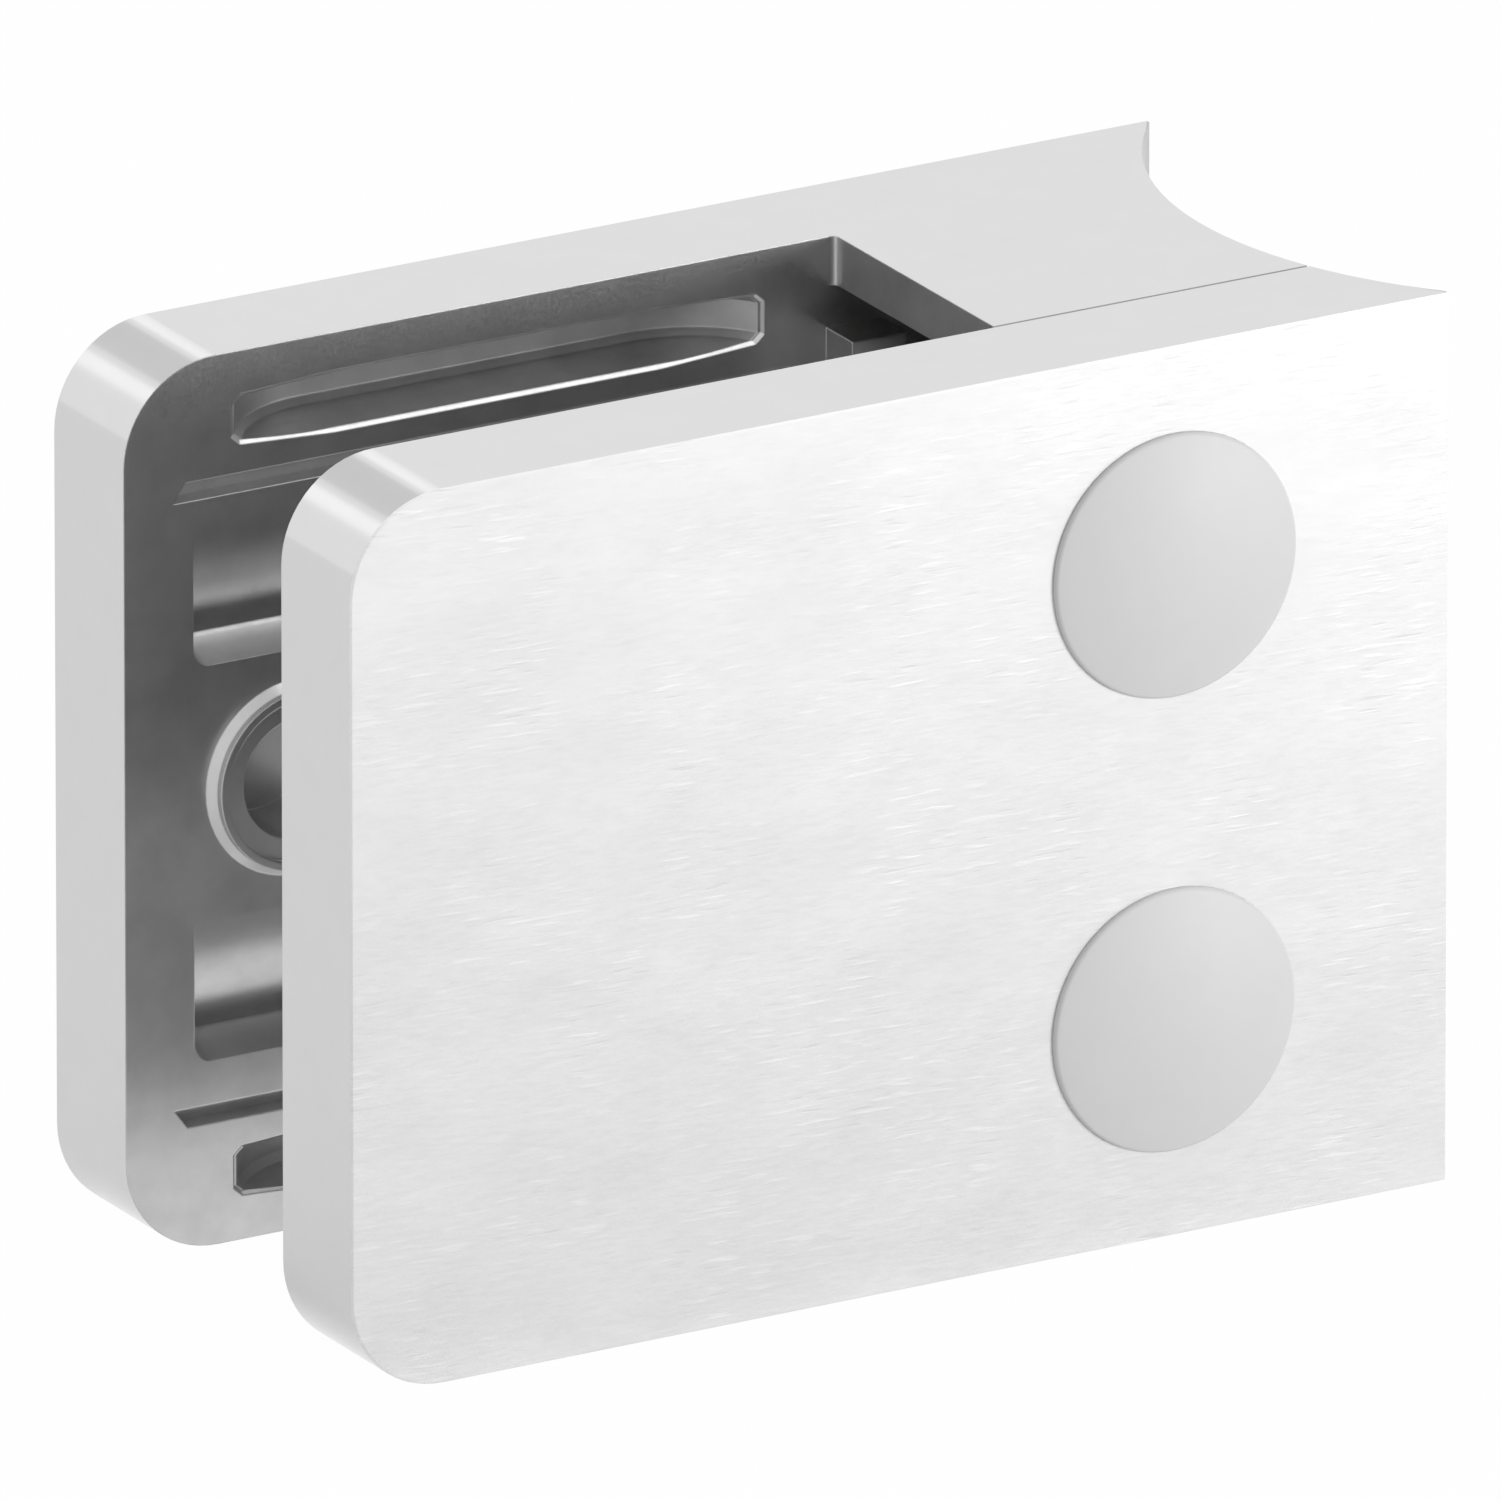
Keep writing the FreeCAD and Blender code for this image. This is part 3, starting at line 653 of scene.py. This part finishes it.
def outline_depth(centre, settings):
    """How far a place lies inside the rounded outline of the jaws."""
    low, high = CAD_BOX
    from_tip = centre.x - low.x
    from_edge = min(centre.z - low.z, high.z - centre.z)
    radius = settings.tip_radius
    if from_tip < radius and from_edge < radius:
        return radius - math.hypot(radius - from_tip, radius - from_edge)
    return min(from_tip, from_edge)


def below_jaw_face(centre, settings):
    """How far a place lies below the gripping face of its jaw."""
    return abs(centre.y) - settings.glass_gap / 2


def from_end(centre):
    """How far a place lies from the nearer of the top and bottom faces."""
    return CAD_BOX[1].z - abs(centre.z)


def in_saddle(centre, settings):
    """Whether a place lies on the round seat for the post."""
    from_axis = math.hypot(centre.x - settings.post_radius, centre.y)
    return abs(from_axis - settings.post_radius) < SADDLE_REACH


def in_narrow_cut(centre, settings):
    """Whether a place lies in a slot or a fine groove of a gripping face."""
    least, most = CUT_DEPTHS
    in_mouth = centre.x < settings.web_face and from_end(centre) < settings.groove_end
    return in_mouth and least < below_jaw_face(centre, settings) < most


def on_pocket_foot(centre, normal, settings):
    """Whether a face belongs to the steep foot of a wedge pocket."""
    leans = normal.z > FOOT_RISE and abs(normal.y) > FOOT_LEAN
    in_mouth = centre.x < settings.web_face and from_end(centre) > settings.groove_end
    return leans and in_mouth and FOOT_TOP < below_jaw_face(centre, settings) < settings.pocket_deep


def finish_of(polygon, outer_y, settings):
    """Which finish a face of a casting has, by its place and the way it looks."""
    centre, normal = polygon.center, polygon.normal
    if abs(normal.y) > RIM_Y and abs(centre.y - outer_y) < FACE_REACH:
        return BRUSHED
    # The web's face at the seam, and the floors of the counterbores
    if normal.y < -FLAT_Y and centre.y < 0:
        return SATIN
    flat = abs(normal.y) > FLAT_Y
    if not flat and in_saddle(centre, settings):
        return BLASTED
    if not flat and outline_depth(centre, settings) < OUTLINE_REACH:
        return SATIN
    if in_narrow_cut(centre, settings):
        # Slots take the darker steel that paints their shade; fine grooves take the worn steel
        return SLOT_PAINTED_SHADE if from_end(centre) <= settings.slot_end else WORN
    return WORN if on_pocket_foot(centre, normal, settings) else BLASTED


class CLAMP_OT_castings(bpy.types.Operator):
    """Gives the castings a brushed outside, satin edges and a blasted mouth"""

    bl_idname = "clamp.castings"
    bl_label = "Castings"

    def execute(self, context):
        settings = context.scene.clamp_castings
        mottle = build_mottle_group()
        finishes = {
            BRUSHED: brushed_steel(settings, build_streak_group()),
            SATIN: satin_steel(settings, mottle),
            BLASTED: blasted_steel(settings, mottle),
            SLOT_PAINTED_SHADE: slot_painted_shade_steel(settings, mottle),
            WORN: worn_steel(settings, mottle),
        }
        for name in CASTINGS:
            mesh = frame["nodes"][name].data
            low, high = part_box(name)
            outer_y = max(low.y, high.y, key=abs)
            mesh.materials.clear()
            for number in sorted(finishes):
                mesh.materials.append(finishes[number])
            for polygon in mesh.polygons:
                polygon.material_index = finish_of(polygon, outer_y, settings)
        return {"FINISHED"}


def round_ring(radius):
    """Ring whose radius is the same all round."""
    return lambda turn: radius


def hexagon_ring(across):
    """Ring along a hexagon with that width across its flats."""
    side = math.radians(60)
    return lambda turn: across / 2 / math.cos(turn % side - side / 2)


def lathe_mesh(name, rings, axis, steps):
    """Closed form of rings round an axis along Y, each (y, radius for a turn), with both ends filled."""
    axis_x, axis_z = axis
    form = bmesh.new()
    turns = [2 * math.pi * step / steps for step in range(steps)]
    loops = []
    for y, radius_at in rings:
        loop = []
        for turn in turns:
            x = axis_x + radius_at(turn) * math.cos(turn)
            z = axis_z + radius_at(turn) * math.sin(turn)
            loop.append(form.verts.new((x, y, z)))
        loops.append(loop)
    for first, second in zip(loops, loops[1:]):
        for step in range(steps):
            after = (step + 1) % steps
            form.faces.new((first[step], first[after], second[after], second[step]))
    for loop, y in ((loops[0], rings[0][0]), (loops[-1], rings[-1][0])):
        middle = form.verts.new((axis_x, y, axis_z))
        for step in range(steps):
            form.faces.new((loop[step], loop[(step + 1) % steps], middle))
    bmesh.ops.recalc_face_normals(form, faces=form.faces)
    mesh = bpy.data.meshes.new(name)
    form.to_mesh(mesh)
    form.free()
    mesh.shade_smooth()
    mesh.set_sharp_from_angle(angle=SHARP_ANGLE)
    return mesh


def add_lathed(name, rings, box, steps, material):
    """Object made of rings round the axis along Y through the middle of a box."""
    low, high = box
    mesh = lathe_mesh(name, rings, ((low.x + high.x) / 2, (low.z + high.z) / 2), steps)
    mesh.materials.append(material)
    return link_object(name, mesh)


def arc(centre_y, centre_radius, radius, first, last, count):
    """Points (y, radius) of an arc; 0 degrees points to -Y and 90 outwards."""
    points = []
    for number in range(count + 1):
        angle = first + (last - first) * number / count
        points.append((centre_y - radius * math.cos(angle), centre_radius + radius * math.sin(angle)))
    return points


def thread_ring(y, start, tip, settings):
    """Ring of a screw thread at y, with a run-out under the head and a chamfer at the tip."""
    root = settings.thread_radius - settings.thread_depth
    limit = min(settings.thread_radius, settings.thread_radius - settings.tip_break + (tip - y))
    run_out = min(1.0, max(0.0, (y - start) / settings.pitch))

    def radius_at(turn):
        phase = (y / settings.pitch - turn / (2 * math.pi)) % 1.0
        flank = min(1.0, max(0.0, (abs(phase - 0.5) - CREST_HALF) / FLANK))
        return min(limit, root + settings.thread_depth * (1.0 - flank) * run_out)

    return radius_at


def screw_rings(low, high, settings):
    """Rings of a low head screw from the floor of its socket to its tip."""
    head_radius = (high.x - low.x) / 2
    top, tip = low.y, high.y
    seat = top + settings.head_height
    socket_floor = top + settings.hex_depth
    edge = settings.head_break
    small_edge = edge / 4
    socket = hexagon_ring(settings.hex_across)
    socket_corner = settings.hex_across / math.sqrt(3)
    rings = [
        (socket_floor, hexagon_ring(settings.hex_across * SOCKET_FLOOR)),
        (socket_floor - small_edge, socket),
        (top + edge, socket),
        (top, round_ring(socket_corner + edge / 2)),
    ]
    head_edge = arc(top + edge, head_radius - edge, edge, 0.0, math.pi / 2, HEAD_ARC_STEPS)
    rings += [(y, round_ring(radius)) for y, radius in head_edge]
    rings += [
        (seat - small_edge, round_ring(head_radius)),
        (seat, round_ring(head_radius - small_edge)),
    ]
    count = round((tip - seat) / settings.pitch * settings.rings)
    for number in range(count + 1):
        y = seat + (tip - seat) * number / count
        rings.append((y, thread_ring(y, seat, tip, settings)))
    return rings


class CLAMP_OT_screws(bpy.types.Operator):
    """Makes the two threaded screws that pull the front plate against the web"""

    bl_idname = "clamp.screws"
    bl_label = "Screws"

    def execute(self, context):
        settings = context.scene.clamp_screws
        material = turned_steel(settings, bpy.data.node_groups[MOTTLE_GROUP])
        for place in PLACES:
            node = f"screw_{place}"
            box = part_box(node)
            rings = screw_rings(*box, settings)
            screw = add_lathed(f"threaded_{node}", rings, box, settings.steps, material)
            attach(screw, node)
            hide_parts(node)
        return {"FINISHED"}


def cap_rings(low, high, head_top, settings):
    """Rings of a domed cup from its crown to the flat inside over the screw head."""
    radius = (high.x - low.x) / 2 + settings.press_fit
    crown, skirt = low.y, high.y
    dome_radius = (radius ** 2 + settings.dome ** 2) / (2 * settings.dome)
    dome_y = crown + dome_radius
    rim = settings.rim_radius
    rim_y = dome_y - math.sqrt((dome_radius - rim) ** 2 - (radius - rim) ** 2)
    lean = math.atan2(radius - rim, dome_y - rim_y)
    points = arc(dome_y, 0.0, dome_radius, lean / DOME_ARC_STEPS, lean, DOME_ARC_STEPS)
    points += arc(rim_y, radius - rim, rim, lean, math.pi / 2, RIM_ARC_STEPS)[1:]
    inner = radius - settings.wall
    foot = settings.head_room
    points += [(skirt - foot, radius), (skirt, radius - foot), (skirt, inner + foot), (skirt - foot, inner)]
    points.append((head_top - settings.head_room, inner))
    return [(y, round_ring(width)) for y, width in points]


class CLAMP_OT_caps(bpy.types.Operator):
    """Makes the two domed caps that cover the screws"""

    bl_idname = "clamp.caps"
    bl_label = "Caps"

    def execute(self, context):
        settings = context.scene.clamp_caps
        material = silky_plastic(settings, bpy.data.node_groups[MOTTLE_GROUP])
        for place in PLACES:
            node = f"cap_{place}"
            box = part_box(node)
            head_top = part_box(f"screw_{place}")[0].y
            rings = cap_rings(*box, head_top, settings)
            cap = add_lathed(f"domed_{node}", rings, box, settings.steps, material)
            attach(cap, node)
            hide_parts(node)
        return {"FINISHED"}


def mix_shaders(tree, share, first, second):
    """Mix Shader node with its share of the second shader."""
    node = tree.nodes.new("ShaderNodeMixShader")
    connect(tree, share, node.inputs[0])
    tree.links.new(first, node.inputs[1])
    tree.links.new(second, node.inputs[2])
    return node.outputs[0]


class CLAMP_OT_stage(bpy.types.Operator):
    """Makes the floor, the light and the camera"""

    bl_idname = "clamp.stage"
    bl_label = "Stage"

    def execute(self, context):
        settings = context.scene.clamp_stage
        self.make_floor(settings)
        self.make_world(settings)
        self.make_camera(settings)
        self.make_lamp(settings)
        context.scene.view_settings.view_transform = "Standard"
        return {"FINISHED"}

    def make_floor(self, settings):
        """Pale floor that the camera sees as white, with a painted pool of light under the mouth, where the
        clamp's shadow falls, that the metal mirrors brightest.
        """
        half, bottom = FLOOR_HALF, CAD_BOX[0].z
        mesh = bpy.data.meshes.new("floor")
        corners = ((-half, -half), (half, -half), (half, half), (-half, half))
        mesh.from_pydata([(x, y, bottom) for x, y in corners], [], [(0, 1, 2, 3)])
        floor = link_object("floor", mesh)
        material, tree, shader = new_material("studio_floor", metallic=0.0)
        shader.inputs["Base Color"].default_value = (*settings.floor_color, 1.0)
        shader.inputs["Roughness"].default_value = FLOOR_ROUGHNESS
        path = tree.nodes.new("ShaderNodeLightPath")
        seen = math_node(tree, "MULTIPLY", path.outputs["Is Camera Ray"], settings.floor_white)
        glow = self.floor_glow(tree, settings)
        mirrored = math_node(tree, "MULTIPLY", path.outputs["Is Glossy Ray"], glow)
        white = tree.nodes.new("ShaderNodeEmission")
        white.inputs["Color"].default_value = WHITE
        share = math_node(tree, "MAXIMUM", seen, mirrored)
        surface = tree.nodes["Material Output"].inputs["Surface"]
        tree.links.new(mix_shaders(tree, share, shader.outputs[0], white.outputs[0]), surface)
        material.cycles.emission_sampling = "NONE"
        mesh.materials.append(material)

    def floor_glow(self, tree, settings):
        """How far the metal mirrors the floor as white, by place: more in a painted pool of light under the
        clamp, where its shadow falls.
        """
        x, y, _ = split_vector(tree, object_place(tree))
        aside = math_node(tree, "ABSOLUTE", y)
        edges = (settings.painted_pool_width, PAINTED_POOL_FADE * settings.painted_pool_width)
        # Painted pool of light: the glow rises over the shadowed floor under the clamp
        beside = remap(tree, aside, edges, (settings.painted_pool_glow - settings.floor_glow, 0.0), smooth=True)
        tip_edges = [CAD_BOX[0].x + step for step in PAINTED_POOL_TIP_FADE]
        along = remap(tree, x, tip_edges, (0.0, 1.0), smooth=True)
        return math_node(tree, "MULTIPLY_ADD", beside, along, settings.floor_glow)

    def make_world(self, settings):
        """Pale room that the metal mirrors with two upright strip lights, and the camera sees as white."""
        world = bpy.data.worlds.new("studio")
        bpy.context.scene.world = world
        world.use_nodes = True
        world.cycles.sampling_method = "NONE"
        tree = world.node_tree
        room = tree.nodes["Background"]
        mirrored = tree.nodes.new("ShaderNodeBackground")
        white = tree.nodes.new("ShaderNodeBackground")
        for background in (room, mirrored, white):
            background.inputs["Color"].default_value = WHITE
        way = tree.nodes.new("ShaderNodeTexCoord").outputs["Generated"]
        slope = settings.room_light * settings.room_slope
        height = split_vector(tree, way)[2]
        strength = math_node(tree, "MULTIPLY_ADD", height, slope, settings.room_light)
        connect(tree, strength, room.inputs["Strength"])
        connect(tree, self.mirrored_strength(tree, way, settings), mirrored.inputs["Strength"])
        path = tree.nodes.new("ShaderNodeLightPath")
        seen = math_node(tree, "MAXIMUM", path.outputs["Is Camera Ray"], path.outputs["Is Transmission Ray"])
        light = mix_shaders(tree, path.outputs["Is Glossy Ray"], room.outputs[0], mirrored.outputs[0])
        light = mix_shaders(tree, seen, light, white.outputs[0])
        tree.links.new(light, tree.nodes["World Output"].inputs["Surface"])

    def mirrored_strength(self, tree, way, settings):
        """Brightness of the mirrored room by direction."""
        x, y, z = split_vector(tree, way)
        heading = math_node(tree, "ARCTAN2", x, y)
        total = settings.mirrored_room
        for (middle, half_width), change in (
                (RIGHT_STRIP, settings.thin_strip_light),
                (LEFT_STRIP, settings.strip_light),
                (WALL_BETWEEN, -settings.strip_gap)):
            away = math_node(tree, "ABSOLUTE", math_node(tree, "SUBTRACT", heading, math.radians(middle)))
            edges = (math.radians(half_width + STRIP_FADE), math.radians(half_width - STRIP_FADE))
            total = math_node(tree, "ADD", total, remap(tree, away, edges, (0.0, change), smooth=True))
        front = remap(tree, y, FRONT_FADE, (0.0, settings.front_dim), smooth=True)
        wall = remap(tree, z, WALL_TOP_FADE, (1.0, 0.0), smooth=True)
        ceiling = remap(tree, z, CEILING_FADE, (0.0, settings.ceiling_dim), smooth=True)
        dim = math_node(tree, "MULTIPLY_ADD", front, wall, ceiling)
        right = remap(tree, x, RIGHT_FADE, (0.0, 1.0), smooth=True)
        total = math_node(tree, "SUBTRACT", total, math_node(tree, "MULTIPLY", dim, right))
        middle = Vector(settings.softbox_way).normalized()
        near = vector_node(tree, "DOT_PRODUCT", way, middle).outputs["Value"]
        edges = [math.cos(share * settings.softbox_spread) for share in around(1.0, -SOFTBOX_FADE)]
        softbox = remap(tree, near, edges, (0.0, settings.softbox_light), smooth=True)
        return math_node(tree, "ADD", total, softbox)

    def make_camera(self, settings):
        """Camera with a long lens that shows the clamp at the photo's scale."""
        data = bpy.data.cameras.new("camera")
        data.lens = settings.lens
        frame_width = PHOTO_PIXELS / settings.pixels_per_mm * MM
        distance = frame_width / 2 * data.lens / (data.sensor_width / 2)
        back = Vector((
            math.sin(settings.azimuth) * math.cos(settings.elevation),
            -math.cos(settings.azimuth) * math.cos(settings.elevation),
            math.sin(settings.elevation)))
        camera = bpy.data.objects.new("camera", data)
        camera.location = Vector(settings.aim) + back * distance
        camera.rotation_euler = (-back).to_track_quat("-Z", "Y").to_euler()
        data.clip_start = distance / CLIP_RATIO
        data.clip_end = distance * CLIP_RATIO
        bpy.context.scene.collection.objects.link(camera)
        bpy.context.scene.camera = camera

    def make_lamp(self, settings):
        """Soft square lamp that points at the clamp and stays out of the picture."""
        data = bpy.data.lights.new("key_lamp", "AREA")
        data.shape = "SQUARE"
        data.size = settings.key_size
        data.energy = settings.key_power
        lamp = bpy.data.objects.new("key_lamp", data)
        lamp.location = settings.key_place
        way = Vector(settings.aim) - Vector(settings.key_place)
        lamp.rotation_euler = way.to_track_quat("-Z", "Y").to_euler()
        lamp.visible_camera = False
        bpy.context.scene.collection.objects.link(lamp)


class CLAMP_PT_panel(bpy.types.Panel):
    """Lists the clamp's steps in the sidebar"""

    bl_idname = "CLAMP_PT_panel"
    bl_label = "Glass panel clamp"
    bl_space_type = "VIEW_3D"
    bl_region_type = "UI"
    bl_category = "Clamp"

    def draw(self, context):
        for operator in OPERATORS:
            self.layout.operator(operator.bl_idname)


SETTINGS = {
    "clamp_castings": CastingSettings,
    "clamp_screws": ScrewSettings,
    "clamp_caps": CapSettings,
    "clamp_stage": StageSettings,
}
OPERATORS = (CLAMP_OT_castings, CLAMP_OT_screws, CLAMP_OT_caps, CLAMP_OT_stage)


def register():
    for group in SETTINGS.values():
        bpy.utils.register_class(group)
    for name, group in SETTINGS.items():
        setattr(bpy.types.Scene, name, PointerProperty(type=group))
    for operator in OPERATORS:
        bpy.utils.register_class(operator)
    bpy.utils.register_class(CLAMP_PT_panel)


def unregister():
    bpy.utils.unregister_class(CLAMP_PT_panel)
    for operator in reversed(OPERATORS):
        bpy.utils.unregister_class(operator)
    for name, group in SETTINGS.items():
        delattr(bpy.types.Scene, name)
        bpy.utils.unregister_class(group)


def main():
    register()
    bpy.ops.clamp.castings()
    bpy.ops.clamp.screws()
    bpy.ops.clamp.caps()
    bpy.ops.clamp.stage()


if __name__ == "__main__":
    main()
